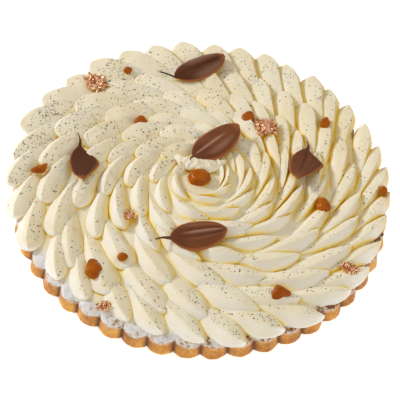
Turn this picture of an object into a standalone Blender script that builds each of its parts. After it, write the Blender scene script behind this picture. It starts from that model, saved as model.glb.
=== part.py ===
"""Vanilla caramel tart: a low fluted shell under rings of piped cream petals, topped with chocolate leaves,
caramel drops and crinkled copper foil. Metres, +Z up; the origin is the middle of the flat underside."""

import math
import random

import bmesh
import bpy
from mathutils import Matrix, Vector, noise
from mathutils.bvhtree import BVHTree

MM = 0.001
SEED = 1807

# shell of short pastry
SHELL_RADIUS = 135 * MM  # valley of the flutes, at the underside
SHELL_HEIGHT = 12.2 * MM
SHELL_LEAN = 1.9 * MM  # how much narrower the rim is than the underside
FLUTE_COUNT = 46
FLUTE_DEPTH = 4.6 * MM
FLUTE_PHASE = math.radians(0.48)
FLUTE_FULLNESS = 0.8  # 1 for a plain sine, less for fuller flutes
POINTS_PER_FLUTE = 4
FOOT_ROUND = 1.2 * MM
RIM_ROUND = 1.6 * MM
RIM_WIDTH = 9 * MM  # outer band of the rim, which follows the flutes

# cream: a low dome under rings of petals
GAP = 0.3 * MM  # air between pieces that lie on each other
LIFT_STEP = 0.1 * MM
CREAM_FLOOR = SHELL_HEIGHT + GAP
DOME_RADIUS = 133 * MM
DOME_EDGE_HEIGHT = 2.4 * MM
DOME_SEGMENTS = 48
CREST_AT_RIM = 22.0 * MM
CREST_AT_CENTRE = 29.5 * MM
PETAL_RELIEF = 7.5 * MM  # crest of a petal above the dome
SWIRL_AT_RIM = math.radians(50)
SWIRL_AT_CENTRE = math.radians(78)
SWIRL_MORE_IN_FRONT = math.radians(7)  # petals at the front lean this much further round than the mean
SWIRL_MORE_AT_SIDES = math.radians(12)  # and so do those at the two sides
# each ring: radius of the heads, petals in it, angle of its first head in degrees, petal length
PETAL_RINGS = (
    (142.0 * MM, 34, 5.4, 66 * MM),
    (117.0 * MM, 26, 8.0, 66 * MM),
    (92.5 * MM, 21, 2.0, 64 * MM),
    (71.5 * MM, 17, 14.0, 60 * MM),
    (53.5 * MM, 13, 5.0, 58 * MM),
    (37.5 * MM, 10, 20.0, 52 * MM),
    (22.0 * MM, 7, 40.0, 40 * MM),
)
PETAL_FILL = 1.36  # width of a petal as a share of the room it has between its neighbours
PETAL_HALF_THICKNESS = 4.5 * MM
PETAL_HEAD_SHARE = 0.2  # part of the length over which the head widens, at the back
PETAL_HEAD_LONGER = 0.2  # more at the front, where the heads are pointed
PETAL_HEAD_ROUND = 0.5  # power of the head's outline: an oval at the back
PETAL_HEAD_SHARPER = 0.28  # more for a sharp head
PETAL_TIP_SHARE = 0.28  # part of the length over which it thickens
PETAL_TIP_THICKNESS = 0.5  # thickness of the tip as a share of the full one
PETAL_TIP_LOWER = 0.4  # how much of what a thin tip lacks is taken off its top
PETAL_CLEAR = 0.5 * MM  # least height of a petal above the cream's underside
PETAL_TAIL_THINNER = 0.35
PETAL_CREST_IN_FRONT = -0.22  # the crest runs here, as a share of the half width: beside the middle in front
PETAL_CREST_AT_BACK = -0.68  # and close to the right edge at the back
PETAL_CREST_TURNS_OVER = 0.7  # sine of head angle over which it changes
PETAL_SHARPEST_AT = math.radians(-45)  # heads are pointed here and round on the far side
PETAL_TAIL_WIDTH = 0.78  # width of the tail as a share of the widest
PETAL_TAPER = 1.8  # the higher, the later along the petal it narrows
PETAL_TAIL_SINK = 8.5 * MM
PETAL_TAIL_DROOP = 3.2  # the higher, the later along the petal it sinks
PETAL_STATIONS = (0.035, 0.19, 0.6)
SPACING_WAVE = 0.2  # petals at the front stand this much further apart, those at the back closer
SPACING_CLOSEST = math.radians(60)
RIM_WAVE = 4.5 * MM  # outer heads reach this much further at the back
RIM_SIDES = 3.0 * MM  # and this much less at the two sides
RIM_DIP = 8 * MM  # or where the rim of the shell lies bare
RIM_DIP_AT = math.radians(-113)
RIM_DIP_WIDTH = math.radians(24)
RIM_BULGE = 3.0 * MM  # and this much more at the back left
RIM_BULGE_AT = math.radians(148)
RIM_BULGE_WIDTH = math.radians(32)
PATH_STEPS = 24

# chocolate leaves: base, tip and stem end in plan, half widths left and right of the midrib, rise of the tip,
# and how far along the left half runs out to a corner, or None on the plain ones
LEAF_THICKNESS = 1.4 * MM
LEAF_WIDEST_AT = 0.42  # how far along the other halves are widest
LEAF_CUP = 2.2 * MM  # how far a half droops at LEAF_CUP_AT from the midrib
LEAF_CUP_AT = 12 * MM
STEM_TAPER = 0.35
STEM_HALF_WIDTH = 0.9 * MM
LEAF_STATIONS = (-1.0, -0.5, 0.0, 0.05, 0.17, 0.36, 0.56, 0.76, 0.91, 1.0)  # below 0 on the stem
LEAVES = (
    ("leaf_back", (-28.9, 99.9), (7.6, 127.7), (-41.7, 104.1), (11.5, 11.5), 1.0, None),
    ("leaf_centre", (-8.0, 15.2), (22.8, 48.8), (-10.2, 11.6), (12.0, 12.8), 3.0, None),
    ("leaf_front", (-18.1, -59.1), (20.8, -46.8), (-28.4, -61.4), (12.8, 12.8), 0.5, None),
    ("leaf_left", (-92.5, 20.2), (-85.5, -14.8), (-95.6, 33.2), (15.5, 8.5), 6.0, 0.38),
    ("leaf_right", (76.0, 37.2), (68.9, 2.7), (75.2, 44.3), (15.5, 10.0), 6.0, 0.27),
)

# caramel drops: middle in plan, half sizes along and across, half height, turn in degrees
DROP_SUNK = 0.65  # depth of a drop's middle below the crests, as a share of its half height
DROP_LUMPS = 0.16
DROPS = (
    ("caramel_1", (-66.4, 105.4), (3.4, 3.0, 2.6), 20),
    ("caramel_2", (-50.2, 51.7), (5.2, 3.8, 3.0), 0),
    ("caramel_3", (-117.7, -3.8), (6.4, 3.4, 2.8), 35),
    ("caramel_4", (-67.9, -87.2), (5.8, 8.0, 4.6), 15),
    ("caramel_5", (-1.8, -0.2), (8.2, 6.9, 5.2), 10),
    ("caramel_6", (30.4, 65.7), (4.6, 6.2, 4.0), -20),
    ("caramel_7", (89.4, 70.2), (3.6, 5.4, 3.4), -10),
    ("caramel_8", (89.2, -11.6), (5.2, 6.4, 4.0), 10),
    ("caramel_9", (60.3, -91.3), (6.6, 5.4, 4.0), 20),
    ("caramel_10", (133.9, 9.2), (3.0, 4.4, 3.2), 0),
    ("caramel_11", (-49.5, -76.3), (3.6, 3.4, 2.6), 0),
)

# crinkled copper foil: middle in plan, half sizes, turn in degrees
FLAKE_THICKNESS = 0.8 * MM
FLAKE_CRINKLE = 1.6 * MM
FLAKES = (
    ("foil_1", (-88.8, 87.6), (9.5, 11.5), 25),
    ("foil_2", (43.9, 55.2), (11.0, 10.5), 10),
    ("foil_3", (-48.9, -39.8), (4.6, 5.4), 0),
    ("foil_4", (-57.9, -114.3), (6.0, 4.0), 30),
    ("foil_5", (108.3, -64.9), (8.0, 5.5), -25),
)


def clear_scene():
    for item in list(bpy.data.objects):
        bpy.data.objects.remove(item, do_unlink=True)


def new_collection(name, hidden=False):
    collection = bpy.data.collections.new(name)
    bpy.context.scene.collection.children.link(collection)
    collection.hide_render = hidden
    return collection


def material(name, colour, roughness, metallic=0.0):
    made = bpy.data.materials.new(name)
    made.use_nodes = True
    shader = made.node_tree.nodes["Principled BSDF"]
    shader.inputs["Base Color"].default_value = (*colour, 1.0)
    shader.inputs["Roughness"].default_value = roughness
    shader.inputs["Metallic"].default_value = metallic
    made.diffuse_color = (*colour, 1.0)
    return made


def pastry_material():
    return material("pastry", (0.60, 0.33, 0.13), 0.75)


def cream_material():
    return material("cream", (0.86, 0.80, 0.66), 0.55)


def chocolate_material():
    return material("chocolate", (0.13, 0.045, 0.025), 0.38)


def caramel_material():
    return material("caramel", (0.52, 0.20, 0.03), 0.15)


def copper_material():
    return material("copper_foil", (0.80, 0.42, 0.30), 0.3, 1.0)


def object_from(bm, name, collection, slot=None):
    """The bmesh as a named object with smooth faces; the bmesh is freed."""
    bmesh.ops.recalc_face_normals(bm, faces=bm.faces)
    mesh = bpy.data.meshes.new(name)
    for face in bm.faces:
        face.smooth = True
    bm.to_mesh(mesh)
    bm.free()
    if slot:
        mesh.materials.append(slot)
    made = bpy.data.objects.new(name, mesh)
    collection.objects.link(made)
    return made


def lathe(profile, segments):
    """A closed solid: (radius, height) points, first and last on the axis, spun about +Z."""
    bm = bmesh.new()
    points = [bm.verts.new((radius, 0.0, height)) for radius, height in profile]
    edges = [bm.edges.new(pair) for pair in zip(points, points[1:])]
    bmesh.ops.spin(bm, geom=points + edges, cent=(0, 0, 0), axis=(0, 0, 1),
                   angle=math.tau, steps=segments, use_merge=True)
    bmesh.ops.remove_doubles(bm, verts=bm.verts, dist=0.001 * MM)
    return bm


def flute(angle):
    """How far the shell's wall stands out at this angle: 0 in a valley, 1 on a flute's crown."""
    turn = (angle - FLUTE_PHASE) * FLUTE_COUNT / 2
    return abs(math.sin(turn)) ** FLUTE_FULLNESS


def build_shell(collection):
    """The fluted shell, filled and solid, with a flat rim."""
    wall = SHELL_RADIUS
    rim = wall - SHELL_LEAN
    profile = (
        (0.0, SHELL_HEIGHT),
        (rim - RIM_WIDTH, SHELL_HEIGHT),
        (rim - RIM_ROUND, SHELL_HEIGHT),
        (rim, SHELL_HEIGHT - RIM_ROUND),
        (wall, FOOT_ROUND),
        (wall - FOOT_ROUND, 0.0),
        (0.0, 0.0),
    )
    bm = lathe(profile, FLUTE_COUNT * POINTS_PER_FLUTE)
    for vert in bm.verts:
        radius = math.hypot(vert.co.x, vert.co.y)
        if radius < rim - RIM_WIDTH / 2:
            continue
        angle = math.atan2(vert.co.y, vert.co.x) + FLUTE_PHASE
        wider = (radius + FLUTE_DEPTH * flute(angle)) / radius
        vert.co.x, vert.co.y = radius * wider * math.cos(angle), radius * wider * math.sin(angle)
    return object_from(bm, "shell", collection, pastry_material())


def crest_height(radius):
    """Top of the petals at this distance from the middle."""
    share = min(radius / PETAL_RINGS[0][0], 1.0)
    return CREST_AT_CENTRE + (CREST_AT_RIM - CREST_AT_CENTRE) * share ** 1.4


def dome_object(collection):
    """The cream under the petals: a thin round slab that rises to a dome."""
    inner = [share * DOME_RADIUS for share in (0.2, 0.4, 0.6, 0.8, 0.92)]
    profile = [(0.0, crest_height(0) - PETAL_RELIEF)]
    profile += [(radius, crest_height(radius) - PETAL_RELIEF) for radius in inner]
    profile += [
        (DOME_RADIUS - 1.5 * MM, CREAM_FLOOR + DOME_EDGE_HEIGHT),
        (DOME_RADIUS, CREAM_FLOOR + DOME_EDGE_HEIGHT - 1.2 * MM),
        (DOME_RADIUS - 0.8 * MM, CREAM_FLOOR),
        (0.0, CREAM_FLOOR),
    ]
    return object_from(lathe(profile, DOME_SEGMENTS), "cream", collection)


def swirl_angle(x, y):
    """Angle between a petal and the radius at this place in plan."""
    inward = 1 - min(math.hypot(x, y) / SHELL_RADIUS, 1.0)
    angle = math.atan2(y, x)
    wave = SWIRL_MORE_AT_SIDES * math.cos(2 * angle) - SWIRL_MORE_IN_FRONT * math.sin(angle)
    return SWIRL_AT_RIM + (SWIRL_AT_CENTRE - SWIRL_AT_RIM) * inward + wave * (1 - inward)


def petal_path(radius, angle, length, turn):
    """Points of a petal's middle line in plan, from its head inwards, and the outward direction at each."""
    x, y = radius * math.cos(angle), radius * math.sin(angle)
    path = []
    for _ in range(PATH_STEPS + 1):
        heading = math.atan2(y, x) + swirl_angle(x, y) + turn
        path.append((x, y, heading))
        x -= length / PATH_STEPS * math.cos(heading)
        y -= length / PATH_STEPS * math.sin(heading)
    return path


def path_at(path, share):
    """The point and heading this share of the way along a path."""
    place = share * PATH_STEPS
    first = min(int(place), PATH_STEPS - 1)
    part = place - first
    (x0, y0, h0), (x1, y1, h1) = path[first], path[first + 1]
    step = math.remainder(h1 - h0, math.tau)
    return x0 + (x1 - x0) * part, y0 + (y1 - y0) * part, h0 + step * part


def petal_width(share, pointed):
    """Width of the petal this share of the way from head to tail; pointed is 0 for a round head and 1 for a
    sharp one."""
    head_share = PETAL_HEAD_SHARE + PETAL_HEAD_LONGER * pointed
    if share < head_share:
        return (1 - (1 - share / head_share) ** 2) ** (PETAL_HEAD_ROUND + PETAL_HEAD_SHARPER * pointed)
    along = (share - head_share) / (1 - head_share)
    return 1 - (1 - PETAL_TAIL_WIDTH) * along ** PETAL_TAPER


def petal_section(angle):
    """Section of a petal whose head is at this angle, as shares of its half width and half thickness: a flank
    on the right of its heading, a crest, then a falling top that runs in under the next petal."""
    behind = min(max(0.5 + math.sin(angle) / PETAL_CREST_TURNS_OVER, 0.0), 1.0)
    crest = PETAL_CREST_IN_FRONT + (PETAL_CREST_AT_BACK - PETAL_CREST_IN_FRONT) * behind
    return ((-1.0, -0.7), (crest, 1.0), ((crest + 1) / 2, 0.6), (0.95, -0.5), (0.7, -1.0), (-0.78, -1.0))


def petal_thickness(share):
    """Thickness of the petal there: thinner towards the tip, full in the middle, less in the tail."""
    rising = min(share / PETAL_TIP_SHARE, 1.0)
    rising = rising * rising * (3 - 2 * rising)
    return PETAL_TIP_THICKNESS + (1 - PETAL_TIP_THICKNESS) * rising - PETAL_TAIL_THINNER * share ** 2


def petal_bmesh(path, spacing, top, angle):
    """One piped petal lofted along its path; spacing is the angle to its neighbour, top its crest's height
    and angle the place of its head."""
    pointed = (1 + math.cos(angle - PETAL_SHARPEST_AT)) / 2
    section = petal_section(angle)
    bm = bmesh.new()

    def middle(share):
        x, y, heading = path_at(path, share)
        thick = PETAL_HALF_THICKNESS * petal_thickness(share)
        level = top - PETAL_HALF_THICKNESS - PETAL_TIP_LOWER * (PETAL_HALF_THICKNESS - thick)
        room = spacing * math.hypot(x, y) * math.cos(swirl_angle(x, y))
        return x, y, heading, level - PETAL_TAIL_SINK * share ** PETAL_TAIL_DROOP, thick, room / 2

    rings = []
    for share in PETAL_STATIONS:
        x, y, heading, level, thick, half_room = middle(share)
        wide = PETAL_FILL * half_room * petal_width(share, pointed)
        ring = []
        for across_share, height_share in section:
            across = wide * across_share
            height = max(level + thick * height_share, CREAM_FLOOR + PETAL_CLEAR)
            aside = (x - across * math.sin(heading), y + across * math.cos(heading))
            ring.append(bm.verts.new((*aside, height)))
        rings.append(ring)
    sides = len(section)
    for ring, next_ring in zip(rings, rings[1:]):
        for side in range(sides):
            after = (side + 1) % sides
            bm.faces.new((ring[side], ring[after], next_ring[after], next_ring[side]))
    for ring, share in ((rings[0], 0.0), (rings[-1], 1.0)):
        x, y, _, level, _, _ = middle(share)
        tip = bm.verts.new((x, y, max(level, CREAM_FLOOR + 1.5 * PETAL_CLEAR)))
        for side in range(sides):
            bm.faces.new((ring[side], ring[(side + 1) % sides], tip))
    return bm


def head_place(number, count, first):
    """Angle of a head in its ring and the angle to its neighbour: wide at the front, close at the back."""
    even = first + math.tau * number / count
    spacing = math.tau / count * (1 - SPACING_WAVE * math.cos(even - SPACING_CLOSEST))
    return even - SPACING_WAVE * math.sin(even - SPACING_CLOSEST), spacing


def rim_reach(angle):
    """How much further or less far than the ring's radius an outer head reaches at this angle."""
    wave = RIM_WAVE * math.sin(angle) - RIM_SIDES * math.cos(angle) ** 2
    from_dip = math.remainder(angle - RIM_DIP_AT, math.tau) / RIM_DIP_WIDTH
    from_bulge = math.remainder(angle - RIM_BULGE_AT, math.tau) / RIM_BULGE_WIDTH
    return wave - RIM_DIP * math.exp(-from_dip ** 2) + RIM_BULGE * math.exp(-from_bulge ** 2)


def build_petals(collection, chance):
    """Every petal of every ring, uneven as piped by hand."""
    for ring, (radius, count, first, length) in enumerate(PETAL_RINGS):
        for number in range(count):
            angle, spacing = head_place(number, count, math.radians(first))
            angle += spacing * chance.uniform(-0.1, 0.1)
            reach = radius + chance.uniform(-2.2, 2.2) * MM
            if ring == 0:
                reach += rim_reach(angle)
            turn = math.radians(chance.uniform(-6, 6))
            path = petal_path(reach, angle, length * chance.uniform(0.93, 1.07), turn)
            top = crest_height(radius) + chance.uniform(-0.7, 0.7) * MM
            petal = petal_bmesh(path, spacing * chance.uniform(0.94, 1.1), top, angle)
            object_from(petal, f"petal_{ring}_{number}", collection)


def boolean(target, collection, operation):
    """The target joined with, or cut by, everything in the collection, as one applied Boolean."""
    modifier = target.modifiers.new(operation.lower(), "BOOLEAN")
    modifier.operand_type = "COLLECTION"
    modifier.collection = collection
    modifier.operation = operation
    modifier.solver = "MANIFOLD"
    depsgraph = bpy.context.evaluated_depsgraph_get()
    joined = bpy.data.meshes.new_from_object(target.evaluated_get(depsgraph))
    target.modifiers.clear()
    target.data = joined
    for item in list(collection.objects):
        bpy.data.objects.remove(item, do_unlink=True)


def keep_largest_shell(target):
    """Fills hollows sealed inside the mesh and drops loose scrap."""
    bm = bmesh.new()
    bm.from_mesh(target.data)
    bm.verts.ensure_lookup_table()
    seen, shells = set(), []
    for start in bm.verts:
        if start.index in seen:
            continue
        seen.add(start.index)
        shell, waiting = [], [start]
        while waiting:
            vert = waiting.pop()
            shell.append(vert)
            for edge in vert.link_edges:
                other = edge.other_vert(vert)
                if other.index not in seen:
                    seen.add(other.index)
                    waiting.append(other)
        shells.append(shell)
    shells.sort(key=len)
    for shell in shells[:-1]:
        bmesh.ops.delete(bm, geom=shell, context="VERTS")
    bmesh.ops.triangulate(bm, faces=bm.faces)
    for face in bm.faces:
        face.smooth = True
    bm.to_mesh(target.data)
    bm.free()


def build_cream(collection, chance):
    """Dome and petals as one solid."""
    pieces = new_collection("petals_to_join", hidden=True)
    cream = dome_object(collection)
    build_petals(pieces, chance)
    boolean(cream, pieces, "UNION")
    keep_largest_shell(cream)
    cream.data.materials.clear()
    cream.data.materials.append(cream_material())
    return cream


def leaf_half_width(share, corner):
    """Outline of a leaf's half from base to tip, 1 at its widest: a round shoulder, or a hollow side up to a
    corner."""
    widest = corner or LEAF_WIDEST_AT
    beyond = max((share - widest) / (1 - widest), 0.0)
    if corner:
        return min(share / widest, 1.0) ** 1.4 * (1 - beyond ** 1.25) ** 0.8
    if beyond:
        return (1 - beyond ** 2.3) ** 0.6
    return math.sin(math.pi / 2 * share / widest) ** 0.6


def leaf_mesh(name, base, tip, stem_end, half_widths, rise, corner, collection):
    """A thin cupped leaf with its stem; its height is set later."""
    base, tip, stem_end = (Vector(place) * MM for place in (base, tip, stem_end))
    along = tip - base
    left = Vector((-along.y, along.x)).normalized()
    bm = bmesh.new()
    rows = []
    for share in LEAF_STATIONS:
        on_leaf, on_stem = max(share, 0.0), max(-share, 0.0)
        row = []
        for side in (-1.0, -0.5, 0.0, 0.5, 1.0):
            widest = half_widths[0] if side > 0 else half_widths[1]
            body = widest * MM * leaf_half_width(on_leaf, corner if side > 0 else None)
            across = side * max(body, STEM_HALF_WIDTH * (1 - STEM_TAPER * on_stem))
            place = base + along * on_leaf + (stem_end - base) * on_stem + left * across
            height = rise * MM * on_leaf ** 1.5 - LEAF_CUP * (across / LEAF_CUP_AT) ** 2
            row.append(bm.verts.new((place.x, place.y, height)))
        rows.append(row)
    for row, next_row in zip(rows, rows[1:]):
        for corner in range(4):
            bm.faces.new((row[corner], next_row[corner], next_row[corner + 1], row[corner + 1]))
    bmesh.ops.triangulate(bm, faces=bm.faces)
    return thickened(bm, name, LEAF_THICKNESS, collection, chocolate_material())


def thickened(bm, name, thickness, collection, slot):
    """A sheet given this thickness, both its faces split into the same triangles."""
    sheet = object_from(bm, name, collection, slot)
    solidify = sheet.modifiers.new("thickness", "SOLIDIFY")
    solidify.thickness = thickness
    solidify.offset = 0
    depsgraph = bpy.context.evaluated_depsgraph_get()
    sheet.data = bpy.data.meshes.new_from_object(sheet.evaluated_get(depsgraph))
    sheet.modifiers.clear()
    return sheet


def surface_tree(target):
    mesh = target.data
    places = [vert.co for vert in mesh.vertices]
    return BVHTree.FromPolygons(places, [face.vertices for face in mesh.polygons])


def rest_on(piece, ground):
    """Lowers the piece onto the ground's corners, then lifts it until the two are clear of each other."""
    high = 0.1
    ground_tree = surface_tree(ground)
    piece_tree = surface_tree(piece)
    gaps = []
    for vert in piece.data.vertices:
        found = ground_tree.ray_cast(Vector((vert.co.x, vert.co.y, high)), Vector((0, 0, -1)))[0]
        if found:
            gaps.append(vert.co.z - found.z)
    for vert in ground.data.vertices:
        found = piece_tree.ray_cast(Vector((vert.co.x, vert.co.y, -high)), Vector((0, 0, 1)))[0]
        if found:
            gaps.append(found.z - vert.co.z)
    piece.data.transform(Matrix.Translation((0, 0, -min(gaps))))
    while surface_tree(piece).overlap(ground_tree):
        piece.data.transform(Matrix.Translation((0, 0, LIFT_STEP)))
    piece.data.transform(Matrix.Translation((0, 0, GAP)))


def build_leaves(collection, cream):
    for leaf in LEAVES:
        rest_on(leaf_mesh(*leaf, collection), cream)


def foil_mesh(name, middle, half_sizes, turn, collection):
    """A ragged crinkled sheet; its height is set later."""
    bm = bmesh.new()
    bmesh.ops.create_grid(bm, x_segments=4, y_segments=4, size=1.0)
    spin = Matrix.Rotation(math.radians(turn), 2)
    for vert in bm.verts:
        ragged = 0.8 + 0.35 * noise.noise(vert.co * 2.3 + Vector((*middle, 0)))
        flat = spin @ Vector((vert.co.x * half_sizes[0], vert.co.y * half_sizes[1])) * ragged
        crinkle = noise.noise(vert.co * 3.1 - Vector((*middle, 5)))
        vert.co = ((middle[0] + flat.x) * MM, (middle[1] + flat.y) * MM, crinkle * FLAKE_CRINKLE)
    bmesh.ops.triangulate(bm, faces=bm.faces)
    return thickened(bm, name, FLAKE_THICKNESS, collection, copper_material())


def build_foil(collection, cream):
    for name, middle, half_sizes, turn in FLAKES:
        rest_on(foil_mesh(name, middle, half_sizes, turn, collection), cream)


def drop_bmesh(middle, half_sizes, turn, bigger=0.0):
    """A lumpy drop of caramel; bigger adds a margin all round, in metres."""
    bm = bmesh.new()
    bmesh.ops.create_uvsphere(bm, u_segments=8, v_segments=5, radius=1.0)
    spin = Matrix.Rotation(math.radians(turn), 3, "Z")
    level = crest_height(Vector(middle).length * MM) - DROP_SUNK * half_sizes[2] * MM
    for vert in bm.verts:
        lumpy = 1 + DROP_LUMPS * noise.noise(vert.co * 1.4 + Vector((*middle, 0)))
        reach = Vector([vert.co[axis] * (half_sizes[axis] * MM * lumpy + bigger) for axis in range(3)])
        vert.co = spin @ reach + Vector((middle[0] * MM, middle[1] * MM, level))
    return bm


def build_drops(collection, cream):
    """Drops half sunk in the cream, each in a pocket that leaves a gap round it."""
    pockets = new_collection("pockets", hidden=True)
    for name, middle, half_sizes, turn in DROPS:
        object_from(drop_bmesh(middle, half_sizes, turn), name, collection, caramel_material())
        pocket = object_from(drop_bmesh(middle, half_sizes, turn, 1.3 * GAP), f"pocket_{name}", pockets)
        pocket.display_type = "WIRE"
    boolean(cream, pockets, "DIFFERENCE")
    keep_largest_shell(cream)


def main():
    clear_scene()
    chance = random.Random(SEED)
    tart = new_collection("vanilla_caramel_tart")
    build_shell(tart)
    cream = build_cream(tart, chance)
    build_drops(tart, cream)
    build_leaves(tart, cream)
    build_foil(tart, cream)


main()
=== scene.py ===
"""Looks of the vanilla caramel tart: cream petals, crust, chocolate leaves, caramel, foil and specks."""

import math
import random

import bmesh
import bpy
from mathutils import Matrix, Vector, noise
from mathutils.bvhtree import BVHTree


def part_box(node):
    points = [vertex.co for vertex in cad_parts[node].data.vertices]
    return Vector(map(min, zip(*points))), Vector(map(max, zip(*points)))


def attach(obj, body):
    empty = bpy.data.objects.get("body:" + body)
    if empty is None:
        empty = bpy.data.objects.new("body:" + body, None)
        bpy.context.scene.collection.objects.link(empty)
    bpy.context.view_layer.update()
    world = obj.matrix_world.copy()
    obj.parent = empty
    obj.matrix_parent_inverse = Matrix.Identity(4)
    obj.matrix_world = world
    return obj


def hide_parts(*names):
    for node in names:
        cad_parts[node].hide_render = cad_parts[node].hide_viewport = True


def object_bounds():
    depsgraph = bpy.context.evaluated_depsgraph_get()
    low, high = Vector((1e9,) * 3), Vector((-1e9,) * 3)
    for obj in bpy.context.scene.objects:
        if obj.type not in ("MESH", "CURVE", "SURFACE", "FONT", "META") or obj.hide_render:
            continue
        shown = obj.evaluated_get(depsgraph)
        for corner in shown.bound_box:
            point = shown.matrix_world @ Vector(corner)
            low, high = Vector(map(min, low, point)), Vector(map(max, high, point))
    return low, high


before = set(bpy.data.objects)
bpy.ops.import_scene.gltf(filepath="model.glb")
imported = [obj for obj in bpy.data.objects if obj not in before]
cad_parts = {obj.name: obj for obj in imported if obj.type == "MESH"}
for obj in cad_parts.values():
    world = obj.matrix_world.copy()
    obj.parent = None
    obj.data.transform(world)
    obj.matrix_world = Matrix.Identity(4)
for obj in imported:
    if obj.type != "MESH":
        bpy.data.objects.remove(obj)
CAD_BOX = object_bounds()

MM = 0.001
SEED = 1807

# shell of short pastry
SHELL_RADIUS = 135 * MM
SHELL_HEIGHT = 12.2 * MM
SHELL_LEAN = 1.9 * MM
SHELL_INNER_RINGS = (60 * MM, 115 * MM)
TOP_SUNK = 0.2 * MM  # the hidden top lies this far below the shell's full height
RIM_WIDTH = 8 * MM
RIM_RINGS = 6
RIM_RING_STEP = 1.2 * MM
RIM_ROUND = 1.6 * MM
WALL_RINGS = 8
FOOT_ROUND = 1.2 * MM
FLUTE_COUNT = 46
FLUTE_DEPTH = 4.6 * MM
FLUTE_SHALLOWER = 0.25 * MM
SHELL_BUMPS = 0.5 * MM
SHELL_CRUMBS = 0.4 * MM
SHELL_TOP_BUMPS = 0.25 * MM
SHELL_SHRUNK = 0.6 * MM  # room for bumps and crumbs inside the solid
FLUTES_INSIDE = 7 * MM  # how far inside the rim the flutes begin
FLUTE_PHASE = math.radians(0.48)
POINTS_PER_FLUTE = 24

# cream
CREAM_FLOOR = SHELL_HEIGHT + 0.3 * MM
BASE_RINGS = 22
BASE_POINTS_PER_FLUTE = 12
BASE_LOWER = 0.6 * MM
BAND_FROM = 126 * MM  # the band over the rim starts here
BAND_RINGS = 9
BAND_INSIDE = 1.2 * MM  # mean distance of its edge from the shell's outline
BAND_RAGGED = 2.0 * MM
BAND_EDGE_HEIGHT = 0.4 * MM
BAND_SWELL = 0.6 * MM
BAND_LIP = (0.2 * MM, -0.9 * MM)  # its edge ends this far further out, and below the shell's full height
BASE_BUMPS = 0.4 * MM
BAND_CRUMBS = 0.6 * MM
CREST_AT_RIM = 22.0 * MM
CREST_AT_CENTRE = 29.5 * MM
PETAL_RELIEF = 7.5 * MM
RELIEF_IN_MIDDLE = 0.62  # share of it in the middle, rising to all of it between these radii
RELIEF_RISES_OVER = (18 * MM, 62 * MM)
SWIRL_AT_RIM = math.radians(50)
SWIRL_AT_CENTRE = math.radians(78)
SWIRL_MORE_IN_FRONT = math.radians(7)
SWIRL_MORE_AT_SIDES = math.radians(12)
# each ring: radius of the heads, petals in it, angle of its first head in degrees, petal length
PETAL_RINGS = (
    (142.0 * MM, 34, 5.4, 66 * MM),
    (117.0 * MM, 26, 8.0, 66 * MM),
    (92.5 * MM, 21, 2.0, 64 * MM),
    (71.5 * MM, 17, 14.0, 60 * MM),
    (53.5 * MM, 13, 5.0, 58 * MM),
    (37.5 * MM, 10, 20.0, 52 * MM),
    (22.0 * MM, 7, 40.0, 40 * MM),
)
PETAL_FILL = 1.4  # width of a petal as a share of its room in the ring
PETAL_WIDER_INSIDE = 0.3  # in the three inner rings
INNER_RINGS_FROM = 4
PETAL_WIDER_AT_LEFT = 0.24
WIDEST_AT = math.radians(160)
WIDER_OVER = math.radians(50)
PETAL_HALF_THICKNESS = 4.5 * MM
PETAL_HEAD_SHARE = 0.2  # part of the length over which the head widens, at the back
PETAL_HEAD_LONGER = 0.2  # more at the front, where the heads are pointed
PETAL_TIP_SHARE = 0.28  # part over which it thickens
PETAL_TIP_THICKNESS = 0.5
PETAL_TAIL_WIDTH = 0.78
PETAL_TAIL_SINK = 8.5 * MM
PETAL_TAIL_DROOP = 3.2
PETAL_STATIONS = 30
PETAL_CREST_IN_FRONT = -0.22  # the crest runs here, as a share of the half width: beside the middle in front
PETAL_CREST_AT_BACK = -0.62  # and nearer the right edge at the back
PETAL_CREST_TURNS_OVER = 0.7  # sine of head angle over which it changes
PETAL_SHARPEST_AT = math.radians(-45)  # heads are pointed here and round on the far side
PETAL_WAVER = 0.08  # share by which the width wanders along a petal
PETAL_BUMPS = 0.45 * MM
PETAL_STREAKS = 0.3 * MM
PETAL_RAGGED = 0.3 * MM
FLANK_POINTS = 9
TOP_POINTS = 12
# how much single petals differ: place in the ring, reach, turn, length, level and width
PLACE_VARIES = 0.1
REACH_VARIES = 2.2 * MM
TURN_VARIES = 6.0
LENGTH_VARIES = (0.93, 1.07)
LEVEL_VARIES = 0.7 * MM
WIDTH_VARIES = (0.94, 1.1)
SPACING_WAVE = 0.2
SPACING_CLOSEST = math.radians(60)
RIM_WAVE = 4.5 * MM
RIM_SIDES = 3.0 * MM
RIM_DIP = 8 * MM
RIM_DIP_AT = math.radians(-113)
RIM_DIP_WIDTH = math.radians(24)
RIM_BULGE = 3.0 * MM
RIM_BULGE_AT = math.radians(148)
RIM_BULGE_WIDTH = math.radians(32)
PATH_STEPS = 24
PRESS_FROM = 1.5 * MM  # distance from the solids' box at which points are pressed in

# cream torn up where the middle leaf was pushed in: a ribbon along this path, in plan, with its half width
TORN_PATH = ((-22, 19), (-16, 14), (-10, 11.5), (-3, 10), (4, 10.5), (10, 13), (16, 18.5))
TORN_HALF_WIDTH = 5.6
TORN_STATIONS = 120
TORN_COLUMNS = 36
TORN_TOP = 33.2 * MM
TORN_FOOT = 26.0 * MM

# chocolate leaves
LEAF_THICKNESS = 1.3 * MM
LEAF_CUP = 2.2 * MM
LEAF_CUP_AT = 12 * MM
LEAF_WIDEST_AT = 0.42
LEAF_STATIONS = 64
LEAF_COLUMNS = 41
RIB_SHEEN = 0.7  # painted sheen: how much paler the raised parts are painted
CORNER_SOFTNESS = {"pleats": 0.17, "fold": 0.04}  # share of the length over which a corner is rounded
CORNER_SAMPLES = 8  # on each side
STEM_STATIONS = 14
STEM_HALF_WIDTH = 0.3 * MM  # at its end
STEM_FLARE = 1.2 * MM  # wider by this where it meets the leaf
STEM_BEND = 0.9 * MM
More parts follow.
